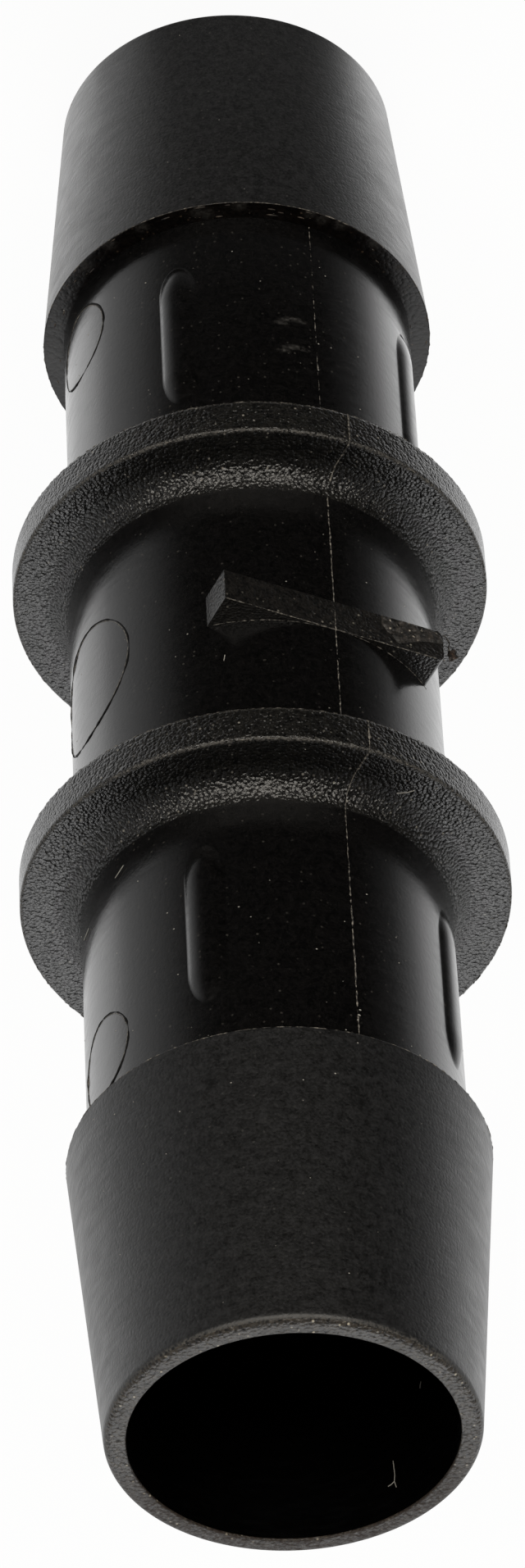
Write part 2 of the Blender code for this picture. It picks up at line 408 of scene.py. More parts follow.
section = add_rows(outer_side() + bore_side(), 1.2 * MM, 0.06 * MM)
print("outline has", len(section), "points")

# %% [markdown]
# ## Helpers that grow a mesh from a tree
# A tree works on an empty host object. Its inputs are set, the result is copied out as a
# plain mesh and the host is thrown away, so no live modifier stays behind. The curves that
# some trees follow are made here too. They are never rendered.


# %% Paths, trees and finished pieces
def path_object(name, points, closed=False):
    """A curve object through these points, for a tree to read."""
    curve = bpy.data.curves.new(name, "CURVE")
    curve.dimensions = "3D"
    line = curve.splines.new("POLY")
    line.points.add(len(points) - 1)
    for knot, point in zip(line.points, points):
        knot.co = (*point, 1.0)
    line.use_cyclic_u = closed
    guide = bpy.data.objects.new(name, curve)
    guide.hide_render = True
    return guide


def start_tree(name, **kinds):
    """An empty tree with named inputs, listed by kind, and the node that hands their values out."""
    tree = bpy.data.node_groups.new(name, "GeometryNodeTree")
    tree.interface.new_socket("Mesh", in_out="OUTPUT", socket_type="NodeSocketGeometry")
    for kind, sizes in kinds.items():
        for size in sizes.split():
            tree.interface.new_socket(size, in_out="INPUT", socket_type="NodeSocket" + kind)
    return tree, tree.nodes.new("NodeGroupInput").outputs


def end_tree(tree, geometry, material):
    """Ends a tree: real geometry, smooth, in its material."""
    smooth = add(tree, "GeometryNodeSetShadeSmooth", {0: geometry})
    real = add(tree, "GeometryNodeRealizeInstances", {0: smooth})
    coated = add(tree, "GeometryNodeSetMaterial", {0: real, 2: material})
    add(tree, "NodeGroupOutput", {0: coated})


def smooth_mesh(name, shape):
    """Turns a finished shape into a smooth mesh."""
    mesh = bpy.data.meshes.new(name)
    shape.to_mesh(mesh)
    shape.free()
    mesh.shade_smooth()
    return mesh


def add_piece(name, mesh, material=None):
    """Puts a finished mesh into the scene as a part of the connector."""
    if material:
        mesh.materials.append(material)
    piece = bpy.data.objects.new(name, mesh)
    scene.collection.objects.link(piece)
    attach(piece, "root")
    mesh.calc_loop_triangles()
    print(name, "has", len(mesh.loop_triangles), "triangles")
    return piece


def grow(name, tree, **values):
    """Runs a tree with these input values and keeps the outcome as a plain mesh object."""
    host = bpy.data.objects.new(name + "_host", bpy.data.meshes.new(name + "_host"))
    modifier = host.modifiers.new("tree", "NODES")
    modifier.node_group = tree
    sockets = {item.name: item.identifier for item in tree.interface.items_tree if item.in_out == "INPUT"}
    for size, value in values.items():
        modifier[sockets[size]] = value
    scene.collection.objects.link(host)
    bpy.context.view_layer.update()
    graph = bpy.context.evaluated_depsgraph_get()
    mesh = bpy.data.meshes.new_from_object(host.evaluated_get(graph), depsgraph=graph)
    mesh.name = name
    bpy.data.objects.remove(host)
    return add_piece(name, mesh)


# %% [markdown]
# The outline lies flat with its first coordinate counted from the sweep's circle, because
# the sweep sets the outline down on that circle and turns it to face along it.

# %% Turn the body
TURNING_RADIUS = 10.0 * MM
knots = [(point.x - TURNING_RADIUS, -point.y, 0.0) for point in section]
outline = path_object("outline", knots, closed=True)

tree, size = start_tree("turned_body", Object="Outline", Float="Turning_Radius", Int="Segments")
circle = add(tree, CIRCLE, {0: size["Segments"], 4: size["Turning_Radius"]})
drawn = add(tree, "GeometryNodeObjectInfo", {0: size["Outline"]}).outputs["Geometry"]
swept = add(tree, SWEEP, {0: circle, 1: drawn})
end_tree(tree, swept, satin_skin)
body = grow("body", tree, Outline=outline, Turning_Radius=TURNING_RADIUS, Segments=320)
body.data.set_sharp_from_angle(angle=math.radians(35))
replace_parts(body, "connector")

# %% [markdown]
# ## Hand out the skins
# A mould is built from inserts, and each insert has its own finish. The barbs are one, the
# collars with their fillets another, and the necks and the tube between them are polished.
# Each face takes its skin from where its middle lies.


# %% Sort the faces
def skin_index(radius, height):
    """0 satin, 1 collar, 2 barb, 3 bore, 4 barb shoulder, 5 mouth ring, for a face's middle."""
    from_middle = abs(height - HALF_LENGTH)
    if radius < BORE_RADIUS - TINY and from_middle < HALF_LENGTH - 0.1 * MM:
        return 3
    if abs(from_middle - BARB_SHOULDER) < 0.03 * MM and radius > NECK_RADIUS + TINY:
        return 4
    if from_middle > HALF_LENGTH - 0.12 * MM:
        return 5
    if from_middle > BARB_SHOULDER + 0.01 * MM:
        return 2
    near_collar = COLLAR_INNER_FACE - COLLAR_FILLET < from_middle < COLLAR_OUTER_FACE + COLLAR_FILLET
    wall = BODY_RADIUS if from_middle < COLLAR_INNER_FACE else NECK_RADIUS
    return 1 if near_collar and radius > wall + 0.02 * MM else 0


for skin in INSERT_SKINS:
    body.data.materials.append(skin)
for face in body.data.polygons:
    middle = face.center
    face.material_index = skin_index(math.hypot(middle.x, middle.y), middle.z)
indices = [face.material_index for face in body.data.polygons]
print("faces in each skin:", [indices.count(index) for index in range(1 + len(INSERT_SKINS))])

# %% [markdown]
# ## Grip ribs
# Four low ribs on each neck keep the hose from turning. Each is a rounded ridge that fades
# into the neck, and all eight are alike, which is what instancing is for. A flat block of
# fine squares is the start. A rule lifts its upper side to the height of a cap that falls
# steeply at the sides and gently at the ends, and a smooth maximum lets it run out softly.
# The block is then bent round the neck.

# %% Shape one rib
RIB_FOOT = -0.35 * MM
tree, size = start_tree(
    "grip_ribs", Float="Length Width Height End_Run Neck_Radius Middle Distance", Int="Per_Neck"
)
wide = add(tree, MATH, {0: size["Width"], 1: 1.3}, "MULTIPLY")
long = add(tree, MATH, {0: size["Length"], 1: 0.5 * MM}, "ADD")
block_size = add(tree, JOIN, {0: wide, 1: 1.0, 2: long})
block = add(tree, "GeometryNodeMeshCube", {0: block_size, 1: 31, 2: 2, 3: 101})
across, layer, along = add(tree, SPLIT, {0: add(tree, POSITION)}).outputs

half_width = add(tree, MATH, {0: size["Width"], 1: 0.5}, "MULTIPLY")
half_length = add(tree, MATH, {0: size["Length"], 1: 0.5}, "MULTIPLY")
straight = add(tree, MATH, {0: half_length, 1: size["End_Run"]}, "SUBTRACT")
from_centre = add(tree, MATH, {0: along}, "ABSOLUTE")
beyond = add(tree, MATH, {0: from_centre, 1: straight}, "SUBTRACT")
past_end = add(tree, MATH, {0: beyond, 1: 0.0}, "MAXIMUM")
spot = add(tree, JOIN, {0: across, 1: past_end})
limits = add(tree, JOIN, {0: half_width, 1: size["End_Run"], 2: 1.0})
shares = add(tree, VECTOR, {0: spot, 1: limits}, "DIVIDE")
share = add(tree, VECTOR, {0: shares}, "LENGTH")
fall = add(tree, MATH, {0: share, 1: 2.6}, "POWER")
stand = add(tree, MATH, {0: 1.0, 1: fall}, "SUBTRACT")
cap = add(tree, MATH, {0: size["Height"], 1: stand}, "MULTIPLY")
lifted = add(tree, MATH, {0: cap, 1: -0.012 * MM, 2: 0.08 * MM}, "SMOOTH_MAX")

# %% Bend it and set eight round the necks
is_top = add(tree, MATH, {0: layer, 1: 0.0}, "LESS_THAN")
rise = add(tree, MIX, {"Factor": is_top, 2: RIB_FOOT, 3: lifted})
reach = add(tree, MATH, {0: size["Neck_Radius"], 1: rise}, "ADD")
outward = add(tree, MATH, {0: reach, 1: -1.0}, "MULTIPLY")
upright = add(tree, JOIN, {1: outward, 2: along})
turn = add(tree, MATH, {0: across, 1: size["Neck_Radius"]}, "DIVIDE")
bent = add(tree, "ShaderNodeVectorRotate", {"Vector": upright, "Angle": turn}, rotation_type="Z_AXIS")
rib = add(tree, MOVE, {0: block, 2: bent})

number = add(tree, "GeometryNodeInputIndex")
last_below = add(tree, MATH, {0: size["Per_Neck"], 1: 0.5}, "SUBTRACT")
on_upper = add(tree, MATH, {0: number, 1: last_below}, "GREATER_THAN")
side = add(tree, MATH, {0: on_upper, 1: 2.0, 2: -1.0}, "MULTIPLY_ADD")
height = add(tree, MATH, {0: side, 1: size["Distance"], 2: size["Middle"]}, "MULTIPLY_ADD")
count = add(tree, MATH, {0: size["Per_Neck"], 1: 2.0}, "MULTIPLY")
eight = add(tree, "GeometryNodePoints", {0: count, 1: add(tree, JOIN, {2: height})})
pitch = add(tree, MATH, {0: math.tau, 1: size["Per_Neck"]}, "DIVIDE")
halfway = add(tree, MATH, {0: number, 1: 0.5}, "ADD")
angle = add(tree, MATH, {0: halfway, 1: pitch}, "MULTIPLY")
facing = add(tree, "FunctionNodeEulerToRotation", {0: add(tree, JOIN, {2: angle})})
end_tree(tree, add(tree, "GeometryNodeInstanceOnPoints", {0: eight, 2: rib, 5: facing}), satin_skin)

ribs = grow(
    "grip_ribs",
    tree,
    Length=10.2 * MM,
    Width=2.1 * MM,
    Height=0.33 * MM,
    End_Run=2.2 * MM,
    Neck_Radius=NECK_RADIUS,
    Middle=HALF_LENGTH,
    Distance=(BARB_SHOULDER + COLLAR_OUTER_FACE) / 2 + 0.25 * MM,
    Per_Neck=4,
)
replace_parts(ribs, "connector")

# %% [markdown]
# ## The gate bar
# Plastic entered the mould through a short straight bar that crosses the parting line. It
# is flat on top, so it hangs over the round tube at both ends. Its underside follows a
# circle inside the tube's wall, which keeps it joined to the tube everywhere and never lets it
# into the bore. It is a plain block whose lower corners are moved onto that circle. The gate
# end is rounded and the other end is crisp.

# %% Build the bar
BAR_HALF_LENGTH = 6.15 * MM
BAR_TOP = BODY_RADIUS + 0.02 * MM
BAR_FOOT_RADIUS = 8.8 * MM
BAR_STEPS = 48
BAR_LOW, BAR_HIGH = 45.0 * MM, 47.0 * MM
TOUCH = 1e-7

shape = bmesh.new()
sections = []
for step in range(BAR_STEPS + 1):
    x = -BAR_HALF_LENGTH + 2 * BAR_HALF_LENGTH * step / BAR_STEPS
    foot = -math.sqrt(BAR_FOOT_RADIUS**2 - x**2)
    corners = [(x, foot, BAR_LOW), (x, -BAR_TOP, BAR_LOW), (x, -BAR_TOP, BAR_HIGH), (x, foot, BAR_HIGH)]
    sections.append([shape.verts.new(corner) for corner in corners])
for one, other in zip(sections, sections[1:]):
    for place in range(4):
        after = (place + 1) % 4
        shape.faces.new((one[place], one[after], other[after], other[place]))
shape.faces.new(sections[0])
shape.faces.new(reversed(sections[-1]))
bmesh.ops.recalc_face_normals(shape, faces=shape.faces)


def edges_where(shape, rule):
    """The edges both of whose ends pass a rule."""
    return [edge for edge in shape.edges if all(rule(end.co) for end in edge.verts)]


gate_corners = [
    edge
    for edge in edges_where(shape, lambda co: co.x < -BAR_HALF_LENGTH + TOUCH)
    if abs(edge.verts[0].co.y - edge.verts[1].co.y) > 0.1 * MM
]
bmesh.ops.bevel(shape, geom=gate_corners, offset=0.45 * MM, segments=6, profile=0.5, affect="EDGES")
top_rim = [
    edge
    for edge in edges_where(shape, lambda co: co.y < -BAR_TOP + TOUCH)
    if sum(abs(face.normal.y) > 0.9 for face in edge.link_faces) == 1
]
bmesh.ops.bevel(shape, geom=top_rim, offset=0.05 * MM, segments=2, profile=0.5, affect="EDGES")
bar_mesh = smooth_mesh("gate_bar", shape)
bar_mesh.set_sharp_from_angle(angle=math.radians(20))
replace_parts(add_piece("gate_bar", bar_mesh, bar_skin), "connector")

# %% [markdown]
# ## Lines where the mould closed
# Under pressure a little plastic creeps between the mould's parts and sets as flash: a thin,
# pale, broken line. It runs along both sides of the tube where the halves met, round the rims
# and barb edges where the inserts met, and along the gate bar. All of these are one
# thing, a rough thread on a path, so one tree makes them from paths that differ. The thread
# wanders, swells and breaks off by noise. Its last step draws in whatever would stand out
# further than the collars do.

# %% The skin of torn plastic
flash_skin = clouded_material("flash_torn_nylon", 0.18 * MM, 0.4, 0.68, "#171512", "#767067", 0.65)

# %% The flash tree
FLASH_LIMIT = COLLAR_RADIUS + 0.025 * MM
flash_tree, size = start_tree(
    "mould_flash", Object="Path", Float="Thickness Wander Step Broken Seed Farthest"
)
drawn = add(flash_tree, "GeometryNodeObjectInfo", {0: size["Path"]}).outputs["Geometry"]
even = add(flash_tree, "GeometryNodeResampleCurve", {0: drawn, 3: size["Step"]}, mode="LENGTH")
at = add(flash_tree, POSITION)
sample = {"Vector": at, "W": size["Seed"], "Scale": 1 / (0.5 * MM), "Detail": 2.0}
wave = add(flash_tree, NOISE, sample, noise_dimensions="4D").outputs["Color"]
centred = add(flash_tree, VECTOR, {0: wave, 1: (0.5, 0.5, 0.5)}, "SUBTRACT")
drift = add(flash_tree, VECTOR, {0: centred, "Scale": size["Wander"]}, "SCALE")
moved = add(flash_tree, MOVE, {0: even, 3: drift})
sample = {"Vector": at, "W": size["Seed"], "Scale": 1 / (0.22 * MM), "Detail": 3.0}
swell = add(flash_tree, NOISE, sample, noise_dimensions="4D")
width = add(flash_tree, REMAP, {0: swell, 1: size["Broken"], 2: 0.7, 3: 0.05, 4: 1.6})
ring = add(flash_tree, CIRCLE, {0: 5, 4: size["Thickness"]})
thread = add(flash_tree, SWEEP, {0: moved, 1: ring, "Scale": width, "Fill Caps": True})
at = add(flash_tree, POSITION)
from_axis = axis_distance(flash_tree, at)
allowed = add(flash_tree, MATH, {0: size["Farthest"], 1: from_axis}, "DIVIDE")
shrink = add(flash_tree, MATH, {0: allowed, 1: 1.0}, "MINIMUM")
inward = add(flash_tree, JOIN, {0: shrink, 1: shrink, 2: 1.0})
kept = add(flash_tree, VECTOR, {0: at, 1: inward}, "MULTIPLY")
end_tree(flash_tree, add(flash_tree, MOVE, {0: thread, 2: kept}), flash_skin)


def flash(name, points, thickness, broken, wander, seed, closed=False):
    """A line of flash along these points. Rings are long and fine, and take longer steps."""
    grow(
        name,
        flash_tree,
        Path=path_object(name + "_path", points, closed),
        Thickness=thickness * MM,
        Wander=wander * MM,
        Step=0.12 * MM if closed else 0.06 * MM,
        Broken=broken,
        Seed=seed,
        Farthest=FLASH_LIMIT,
    )


# %% [markdown]
# The two halves leave one line on the front and one on the back. It is thickest over the
# collars. On the lower neck it is finest, and its path dips into the wall towards the
# shoulder, so that it fades there without a second kind of thread.

# %% Lay the lines of the mould's halves
between_barbs = [point for point in outer_side() if abs(point[1] - HALF_LENGTH) < BARB_SHOULDER - 0.005 * MM]
lower_neck_top = HALF_LENGTH - COLLAR_OUTER_FACE - COLLAR_FILLET
SUNK_END = 0.022 * MM
lower_line = [(NECK_RADIUS, lower_neck_top), (NECK_RADIUS - SUNK_END, HALF_LENGTH - BARB_SHOULDER)]
upper_line = [(NECK_RADIUS, HALF_LENGTH + BARB_SHOULDER)]
upper_line += [point for point in between_barbs if point[1] > lower_neck_top - TINY]
near_rims = [point for point in between_barbs if point[0] > BODY_RADIUS + 0.3 * MM]
collar_lines = [
    [point for point in near_rims if (point[1] > HALF_LENGTH) == above] for above in (False, True)
]
MOULD_LINES = (
    ("", upper_line, 0.043, 0.37, 0.15, 0.0),
    ("_lower", lower_line, 0.034, 0.43, 0.08, 0.0),
    ("_collar_1", collar_lines[0], 0.052, 0.34, 0.05, 2.0),
    ("_collar_2", collar_lines[1], 0.052, 0.34, 0.05, 2.0),
)
for half, side, seed in (("flash_front", -1, 1.0), ("flash_back", 1, 7.0)):
    for ending, line, thickness, broken, wander, more in MOULD_LINES:
        points = [(0.0, side * radius, height) for radius, height in line]
        flash(half + ending, points, thickness, broken, wander, seed + more)


# %% Lay the rings and the bar's lines
def ring_points(radius, height, count=360):
    """Points of a level ring round the axis."""
    turns = [math.tau * number / count for number in range(count)]
    return [(radius * math.cos(turn), radius * math.sin(turn), height) for turn in turns]


RIM_EDGES = [(-COLLAR_OUTER_FACE, 0.04), (-COLLAR_INNER_FACE, -0.04)]
RIM_EDGES += [(-from_middle, -inset) for from_middle, inset in reversed(RIM_EDGES)]
for number, (from_middle, inset) in enumerate(RIM_EDGES):
    rim_line = ring_points(COLLAR_RADIUS - 0.05 * MM, HALF_LENGTH + from_middle + inset * MM)
    flash(f"flash_rim_{number + 1}", rim_line, 0.024, 0.5, 0.03, 20.0 + number, closed=True)
for name, side, seed in (("flash_barb_lower", -1, 31.0), ("flash_barb_upper", 1, 32.0)):
    shoulder_line = ring_points(BARB_RADIUS - 0.01 * MM, HALF_LENGTH + side * (BARB_SHOULDER + 0.03 * MM))
    flash(name, shoulder_line, 0.03, 0.44, 0.03, seed, closed=True)

bar_xs = [BAR_HALF_LENGTH * step / 40 for step in range(-40, 41)]
edge_line = [(x, -BAR_TOP + 0.01 * MM, BAR_HIGH - 0.01 * MM) for x in bar_xs]
flash("flash_bar_edge", edge_line, 0.038, 0.43, 0.03, 3.0)
foot_line = [(x, -math.sqrt(BODY_RADIUS**2 - x**2), BAR_HIGH) for x in bar_xs]
flash("flash_bar_foot", foot_line, 0.03, 0.42, 0.03, 4.0)
end_ys = [-BAR_TOP + (BAR_TOP - 7.4 * MM) * step / 12 for step in range(13)]
end_line = [(-BAR_HALF_LENGTH + 0.14 * MM, y, BAR_HIGH - 0.14 * MM) for y in end_ys]
flash("flash_bar_end", end_line, 0.03, 0.36, 0.02, 5.0)

# %% [markdown]
# ## Ejector pin rings
# Three round pins pushed the tube out of its half of the mould. Where a pin's face met the wall there is a
# fine groove. It is drawn as a thin, rough, dull thread standing on the wall, which is painted shade in
# place of the groove. Seen along the pin it is a true circle, and it lies on the round wall, so the tree
# draws a circle and presses each of its points onto the wall.
# A second, thinner ring inside it is the pale burr of the pin's edge.

# %% Grow the rings
# A dull, rough, weakly reflecting skin, so that the ring stays dark: painted shade of the groove.
groove_shade_skin, tree, shader = new_material("pin_groove_painted_shade")
place = add(tree, PLACE).outputs["Object"]
clouds = add(tree, NOISE, {"Vector": place, "Scale": 1 / (0.2 * MM)})
gloss = add(tree, REMAP, {0: clouds, 1: 0.3, 2: 0.7, 3: 0.6, 4: 0.95})
fill(tree, shader, {"Base Color": linear("#050505"), "Roughness": gloss, "IOR": 1.3})

tree, size = start_tree(
    "pin_ring", Float="Ring_Radius Wall_Radius Height Thickness", Material="Finish"
)
circle = add(tree, CIRCLE, {0: 160, 4: size["Ring_Radius"]})
sideways, upwards, _ = add(tree, SPLIT, {0: add(tree, POSITION)}).outputs
wall_square = add(tree, MATH, {0: size["Wall_Radius"], 1: 2.0}, "POWER")
side_square = add(tree, MATH, {0: sideways, 1: sideways}, "MULTIPLY")
depth_square = add(tree, MATH, {0: wall_square, 1: side_square}, "SUBTRACT")
outward = add(tree, MATH, {0: depth_square}, "SQRT")
up = add(tree, MATH, {0: upwards, 1: size["Height"]}, "ADD")
pressed = add(tree, JOIN, {0: outward, 1: sideways, 2: up})
on_wall = add(tree, MOVE, {0: circle, 2: pressed})
around = add(tree, CIRCLE, {0: 6, 4: size["Thickness"]})
at = add(tree, POSITION)
swell = add(tree, NOISE, {"Vector": at, "Scale": 1 / (0.9 * MM), "Detail": 3.0})
width = add(tree, REMAP, {0: swell, 1: 0.34, 2: 0.66, 3: 0.25, 4: 1.4})
groove_shade_thread = add(tree, SWEEP, {0: on_wall, 1: around, "Scale": width})
end_tree(tree, groove_shade_thread, size["Finish"])

for name, ring_radius, wall, height in (
    ("pin_ring_lower", 2.45 * MM, NECK_RADIUS, 20.8 * MM),
    ("pin_ring_middle", 3.66 * MM, BODY_RADIUS, 46.0 * MM),
    ("pin_ring_upper", 2.45 * MM, NECK_RADIUS, 71.2 * MM),
):
    shared = dict(Wall_Radius=wall, Height=height)
    grow(name, tree, Ring_Radius=ring_radius, Thickness=0.054 * MM, Finish=groove_shade_skin, **shared)
    burr_radius = ring_radius - 0.08 * MM
    grow(name + "_burr", tree, Ring_Radius=burr_radius, Thickness=0.024 * MM, Finish=flash_skin, **shared)

# %% [markdown]
# ## The torn gate
# The gate bar was once joined to the runner that fed it. The runner was broken off and left
# a torn patch on the bar's end: rough, a little raised, and brownish where the glass fibre
# shows. The patch is a fine sheet whose height comes from noise inside the torn outline, and
# which dips under the bar's surface outside it.

# %% Tear the gate
TORN_OUTLINE = [
    (-2.6, 45.05), (-3.4, 44.97), (-4.3, 44.97), (-5.5, 44.98), (-6.05, 45.3), (-6.2, 45.85), (-5.3, 45.98),
    (-4.6, 46.22), (-3.95, 46.55), (-3.68, 46.78), (-3.4, 46.62), (-3.2, 46.3), (-2.9, 46.08), (-2.62, 45.6),
]


def depth_inside(x, z, outline):
    """How far a point lies inside a closed outline. Outside it is negative."""
    point, inside, nearest = Vector((x, z)), False, 1e9
    for start, end in zip(outline, outline[1:] + outline[:1]):
        start, end = Vector(start), Vector(end)
        run = end - start
        share = max(0.0, min(1.0, (point - start).dot(run) / run.length_squared))
        nearest = min(nearest, (point - start - share * run).length)
        if (start.y > z) != (end.y > z) and x < start.x + run.x * (z - start.y) / run.y:
            inside = not inside
    return nearest if inside else -nearest


shape = bmesh.new()
CELL, COLUMNS, ROWS = 0.06, 64, 32
SHEET_X, SHEET_Z = -6.13, 45.03
grid = []
for column in range(COLUMNS + 1):
    line = []
    for row in range(ROWS + 1):
        x, z = SHEET_X + CELL * column, SHEET_Z + CELL * row
        inside = depth_inside(x, z, TORN_OUTLINE)
        hills = rough.fractal((3.6 * x, 3.6 * z, 1.7), 0.9, 2.1, 5)
        lift = min(1.0, inside / 0.18) * (0.06 + 0.11 * hills) if inside > 0 else -0.06
        line.append(shape.verts.new((x * MM, -BAR_TOP - lift * MM, z * MM)))
    grid.append(line)
for one, other in zip(grid, grid[1:]):
    for row in range(ROWS):
        shape.faces.new((one[row], other[row], other[row + 1], one[row + 1]))
sunk = [face for face in shape.faces if all(corner.co.y > -BAR_TOP + 0.05 * MM for corner in face.verts)]
bmesh.ops.delete(shape, geom=sunk, context="FACES")
if sum(face.normal.y for face in shape.faces) > 0:
    bmesh.ops.reverse_faces(shape, faces=shape.faces)
torn_mesh = smooth_mesh("torn_gate", shape)

# %% The torn skin
torn_skin, tree, shader = new_material("torn_glass_filled_nylon")
place = add(tree, PLACE).outputs["Object"]
dark_to_brown = clouded(tree, place, 0.4 * MM, 0.4, 0.7, "#0a0908", "#2d2721", detail=4.0, roughness=0.7)
# Pale specks: partly bare glass fibre, partly painted glints of the torn surface.
fibre_and_glint_spots = speckle(tree, place, 0.22 * MM, 0.3, 0.2, 0.42)
colour = add(tree, MIX, {"Factor": fibre_and_glint_spots, 6: dark_to_brown, 7: linear("#a39a8c")}, data_type="RGBA")
grit = add(tree, NOISE, {"Vector": place, "Scale": 1 / (0.14 * MM), "Detail": 2.0})
bump = add(tree, "ShaderNodeBump", {"Distance": 0.05 * MM, "Height": grit})
fill(tree, shader, {"Base Color": colour, "Roughness": 0.6, "Normal": bump, "IOR": NYLON_IOR})
add_piece("torn_gate", torn_mesh, torn_skin)

# %% [markdown]
# ## Threads and scraps
# A strand of plastic still hangs from the torn gate, with a brown scrap on its end. Fine
# fibres of dust lie in the bore and on the necks. The few that stand out are placed one by
# one, because each has its own length and turn. A thread is a bevelled curve made a mesh.


# %% Threads
def fibre(name, points, thickness, material):
    """A thin thread through these points, as a plain mesh."""
    guide = path_object(name + "_guide", points)
    guide.data.bevel_depth = thickness / 2
    guide.data.bevel_resolution = 1
    guide.data.use_fill_caps = True
    scene.collection.objects.link(guide)
    mesh = bpy.data.meshes.new_from_object(guide.evaluated_get(bpy.context.evaluated_depsgraph_get()))
    mesh.name = name
    bpy.data.objects.remove(guide)
    mesh.materials.clear()
    mesh.shade_smooth()
    return add_piece(name, mesh, material)


lint = clouded_material("cotton_lint", 0.5 * MM, 0.0, 1.0, "#6b6862", "#a5a29a", 0.9, detail=2.0, ior=1.5)

FIBRES = {
    "lint_bore": (7.95, [(88.71, 116.9), (89.59, 116.58), (89.96, 116.93), (90.36, 116.21)]),
    "lint_bore_branch": (7.95, [(89.96, 116.93), (90.05, 118.4), (90.07, 119.64)]),
    "lint_bore_small": (7.95, [(85.14, 101.02), (85.3, 101.5), (85.48, 101.72)]),
    "lint_neck_left": (9.5, [(60.45, -73.74), (60.65, -75.85), (60.8, -77.89)]),
    "lint_neck_far_left": (9.45, [(61.6, -97.08), (61.5, -103.16)]),
    "lint_middle": (9.6, [(49.26, -34.91), (49.64, -35.32)]),
    "lint_neck": (9.42, [(70.08, -42.72), (70.2, -43.6), (70.37, -44.15)]),
    "lint_neck_top": (9.42, [(64.09, -42.99), (64.3, -41.8), (64.27, -40.7)]),
    "lint_collar": (11.6, [(59.3, 9.31), (58.9, 12.64), (58.5, 14.99)]),
}
for name, (radius, places) in FIBRES.items():
    fibre(name, [wall_point(height, turn, radius) for height, turn in places], 0.04 * MM, lint)

# %% Flakes that stick to the collars and the parting line
FLAKES = [
    (12.44, 56.17, -12.2, 0.1), (12.44, 56.76, 5.6, 0.11), (12.44, 57.01, 2.5, 0.08),
    (12.44, 57.39, -8.6, 0.1), (12.44, 57.19, -53.1, 0.09), (11.5, 57.97, 33.6, 0.08),
    (9.42, 72.49, 0.7, 0.09), (9.42, 72.85, 0.3, 0.12), (9.42, 73.19, -0.2, 0.08),
    (9.42, 66.9, -2.6, 0.06), (12.42, 35.4, 1.5, 0.07), (9.42, 27.9, 0.1, 0.08),
]
shape = bmesh.new()
for radius, height, turn, width in FLAKES:
    flake = bmesh.ops.create_icosphere(shape, subdivisions=2, radius=width / 2)["verts"]
    for corner in flake:
        corner.co *= 1.0 + 0.5 * rough.noise(9.0 * corner.co + Vector((height, turn, 0.0)))
    bmesh.ops.scale(shape, verts=flake, vec=(1.3, 0.5, 0.8))
    middle = Vector(wall_point(height, turn, radius)) / MM
    bmesh.ops.rotate(shape, verts=flake, matrix=Euler((0.0, 0.0, math.radians(-turn))).to_matrix())
    bmesh.ops.translate(shape, verts=flake, vec=middle)
bmesh.ops.scale(shape, verts=shape.verts, vec=(MM, MM, MM))
flake_mesh = smooth_mesh("flakes", shape)
add_piece("flakes", flake_mesh, lint)

# %% The strand and the scrap at the gate
STRAND = [
    (-6.1, -9.5, 45.2), (-6.24, -9.55, 45.16), (-6.4, -9.52, 45.3),
    (-6.54, -9.5, 45.56), (-6.44, -9.5, 45.85), (-6.5, -9.5, 46.1),
]
fibre("gate_strand", [Vector(point) * MM for point in STRAND], 0.09 * MM, torn_skin)
shape = bmesh.new()
bmesh.ops.create_icosphere(shape, subdivisions=3, radius=1.0)
for corner in shape.verts:
    swell = 1.0 + 0.55 * rough.fractal(1.3 * corner.co + Vector((4.0, 0.0, 0.0)), 0.8, 2.0, 3)
    wedge = 1.0 - 0.35 * corner.co.z
    corner.co = Vector((0.24 * wedge * corner.co.x, 0.07 * corner.co.y, 0.43 * corner.co.z)) * swell
bmesh.ops.rotate(shape, verts=shape.verts, matrix=Euler((0.0, math.radians(24), 0.0)).to_matrix())
bmesh.ops.translate(shape, verts=shape.verts, vec=(-6.68, -9.5, 46.36))
bmesh.ops.scale(shape, verts=shape.verts, vec=(MM, MM, MM))
scrap_mesh = smooth_mesh("gate_scrap", shape)
burnt = clouded_material("scorched_nylon_scrap", 0.3 * MM, 0.42, 0.62, "#080605", "#37271c", 0.5)
add_piece("gate_scrap", scrap_mesh, burnt)

# %% [markdown]
# ## Dust and crumbs
# Pale dust lies thinly over the whole skin, and brown crumbs of torn plastic cling to the
# shoulders of the barbs. Both are small grains scattered over a zone of the body, so one
# tree does both, with the zone's heights and radii among its inputs. Most grains are small
# and a few are large, which a power of the random number gives. Crumbs lie along the
# shoulder, so their grain can be turned to follow the ring.

# %% The scatter tree
tree, size = start_tree(
    "scattered_grains",
    Object="Surface",
    Float="From_Middle_Low From_Middle_High Inner_Radius Outer_Radius "
    "Per_Square_Metre Smallest Largest Stretch Along_Ring",
    Int="Seed",
    Material="Finish",
)
surface = add(tree, "GeometryNodeObjectInfo", {0: size["Surface"]}).outputs["Geometry"]
at = add(tree, POSITION)
across, along, _ = add(tree, SPLIT, {0: at}).outputs
from_middle, from_axis = middle_distance(tree, at), axis_distance(tree, at)
chosen = 1.0
for value, limit, rule in (
    (from_middle, "From_Middle_Low", "GREATER_THAN"),
    (from_middle, "From_Middle_High", "LESS_THAN"),
    (from_axis, "Inner_Radius", "GREATER_THAN"),
    (from_axis, "Outer_Radius", "LESS_THAN"),
):
    passes = add(tree, MATH, {0: value, 1: size[limit]}, rule)
    chosen = add(tree, MATH, {0: passes, 1: chosen}, "MULTIPLY")
zone = {"Mesh": surface, "Selection": chosen, "Density": size["Per_Square_Metre"], "Seed": size["Seed"]}
spots = add(tree, "GeometryNodeDistributePointsOnFaces", zone).outputs
ball = add(tree, "GeometryNodeMeshIcoSphere", {0: 1.0, 1: 1}).outputs[0]
